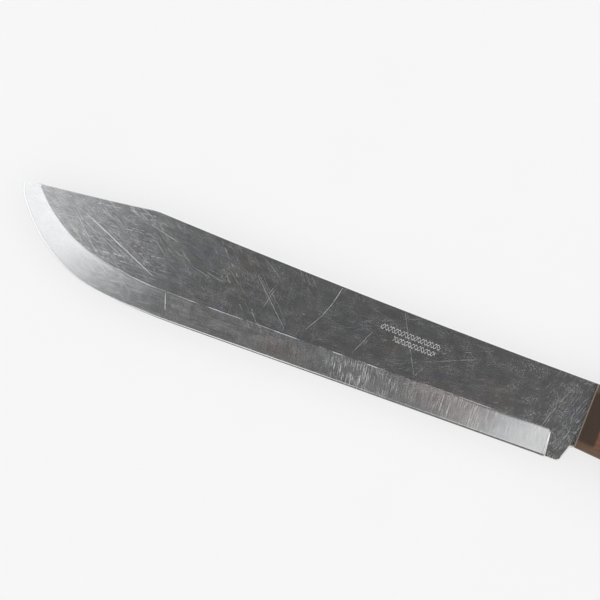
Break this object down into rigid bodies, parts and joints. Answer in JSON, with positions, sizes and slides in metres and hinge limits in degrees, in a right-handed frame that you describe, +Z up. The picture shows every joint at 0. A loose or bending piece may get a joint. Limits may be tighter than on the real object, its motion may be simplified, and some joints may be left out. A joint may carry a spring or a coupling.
{
  "type": "kitchen knife",
  "caption": "Broad kitchen knife with a clip point, a plain ground edge, a full tang and riveted wooden handle scales.",
  "frame": {"origin": "bottom centre of the knife's box as it lies on its right side", "axes": "+X from the tip of the blade to the butt of the handle, +Y from the cutting edge to the spine, +Z up through the left side of the blade"},
  "size_m": [0.355, 0.0384, 0.0189],
  "materials": {
    "blade_steel": "ground and finely scratched",
    "handle_wood": "oiled, worn",
    "rivet_brass": "ground flush, dulled"
  },
  "bodies": {
    "root": {"blade": "blade_steel", "left_scale": "handle_wood", "right_scale": "handle_wood", "front_rivet_sleeve": "rivet_brass", "front_rivet_pin": "rivet_brass", "middle_rivet_sleeve": "rivet_brass", "middle_rivet_pin": "rivet_brass", "rear_rivet_sleeve": "rivet_brass", "rear_rivet_pin": "rivet_brass"}
  },
  "joints": []
}
